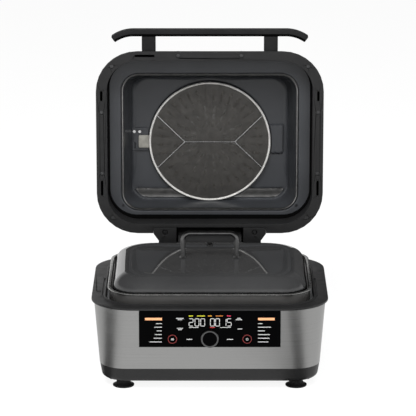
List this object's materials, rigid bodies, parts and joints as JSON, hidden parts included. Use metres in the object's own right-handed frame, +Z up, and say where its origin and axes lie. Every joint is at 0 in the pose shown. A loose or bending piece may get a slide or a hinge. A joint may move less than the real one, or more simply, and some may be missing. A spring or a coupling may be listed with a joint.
{
  "type": "air fryer grill",
  "caption": "Countertop air fryer grill: heated base with dial, lift-out pot with a glass lid, and a deep hinged lid holding a fan, an upper element and a round splash filter.",
  "frame": {"origin": "middle of the whole object's box, lid open, on the table under the feet", "axes": "+Z up, front towards -Y, +X to the right as seen from the front"},
  "size_m": [0.412, 0.5182, 0.569],
  "materials": {
    "brushed_steel": "fine brushed stainless steel",
    "black_plastic": "satin moulded plastic",
    "handle_plastic": "satin moulded plastic",
    "panel_gloss": "high gloss",
    "dial_trim": "satin",
    "key_trim": "tinted light ring",
    "circuit_board": "solder resist",
    "switch_plastic": "moulded",
    "ceramic": "bare ceramic",
    "rubber": "matt",
    "bright_steel": "polished steel",
    "filter_steel": "woven stainless mesh",
    "dark_screws": "blackened",
    "coated_liner": "dark coated sheet",
    "sheet_steel": "plain pressed sheet",
    "fan_aluminium": "plain pressed sheet",
    "motor_steel": "plain",
    "element": "heat-stained tube",
    "pot_coating": "dark non-stick coating",
    "glass": "smoked tempered glass"
  },
  "bodies": {
    "base": {"bottom_tray": "black_plastic", "steel_wrap": "brushed_steel", "rear_panel": "black_plastic", "top_bezel": "black_plastic", "heating_well": "sheet_steel", "base_element": "element", "element_supports": "sheet_steel", "thermostat": "ceramic", "control_panel": "panel_gloss", "key_rings": "key_trim", "display_module": "panel_gloss", "control_board": "circuit_board", "key_switches": "switch_plastic", "dial_encoder": "sheet_steel", "power_board": "circuit_board", "cord_inlet": "black_plastic", "foot_front_left": "rubber", "foot_front_right": "rubber", "foot_rear_left": "rubber", "foot_rear_right": "rubber", "tray_screws": "dark_screws", "lid_switch": "black_plastic", "hinge_block": "black_plastic", "hinge_pin": "bright_steel"},
    "pot": {"cooking_pot": "pot_coating"},
    "glass_lid": {"glass_pane": "glass", "glass_band": "rubber", "glass_handle": "bright_steel", "handle_studs": "bright_steel", "steam_vent": "bright_steel"},
    "dial": {"dial_knob": "panel_gloss", "dial_ring": "dial_trim"},
    "start_key": {"start_button": "panel_gloss"},
    "power_key": {"power_button": "panel_gloss"},
    "lid": {"lid_rim": "black_plastic", "lid_shell": "black_plastic", "lid_gasket": "rubber", "lid_liner": "coated_liner", "fan_guard": "coated_liner", "top_element": "element", "element_clips": "sheet_steel", "motor_bracket": "sheet_steel", "fan_motor": "motor_steel", "lid_sensor": "bright_steel", "filter_clip": "coated_liner", "clip_screws": "bright_steel", "liner_rivets": "bright_steel", "rim_screws": "dark_screws", "handle_bar": "handle_plastic", "handle_posts": "handle_plastic", "hinge_arm_left": "black_plastic", "hinge_arm_right": "black_plastic"},
    "fan": {"convection_fan": "fan_aluminium", "fan_shaft": "bright_steel", "fan_nut": "bright_steel", "cooling_fan": "black_plastic"},
    "filter": {"filter_ring": "bright_steel", "filter_mesh": "filter_steel", "filter_wires": "bright_steel", "filter_tab": "filter_steel"}
  },
  "joints": [
    {"name": "lid_hinge", "type": "hinge", "parent": "base", "child": "lid", "pos_m": [0, 0.10715, 0.17], "axis": [-1, 0, 0], "range_deg": [-90, 0]},
    {"name": "fan_spin", "type": "hinge", "parent": "lid", "child": "fan", "pos_m": [0, 0.21865, 0.3415], "axis": [0, 1, 0], "continuous": true},
    {"name": "filter_unclip", "type": "slide", "parent": "lid", "child": "filter", "axis": [0, -1, 0], "range_m": [0, 0.105]},
    {"name": "pot_lift", "type": "slide", "parent": "base", "child": "pot", "axis": [0, 0, 1], "range_m": [0, 0.13]},
    {"name": "glass_lift", "type": "slide", "parent": "pot", "child": "glass_lid", "axis": [0, 0, 1], "range_m": [0, 0.06]},
    {"name": "dial_turn", "type": "hinge", "parent": "base", "child": "dial", "pos_m": [0, -0.25235, 0.0955], "axis": [0, -1, 0], "continuous": true},
    {"name": "start_press", "type": "slide", "parent": "base", "child": "start_key", "axis": [0, 1, 0], "range_m": [0, 0.0008], "stiffness_N_per_m": 500},
    {"name": "power_press", "type": "slide", "parent": "base", "child": "power_key", "axis": [0, 1, 0], "range_m": [0, 0.0008], "stiffness_N_per_m": 500}
  ]
}
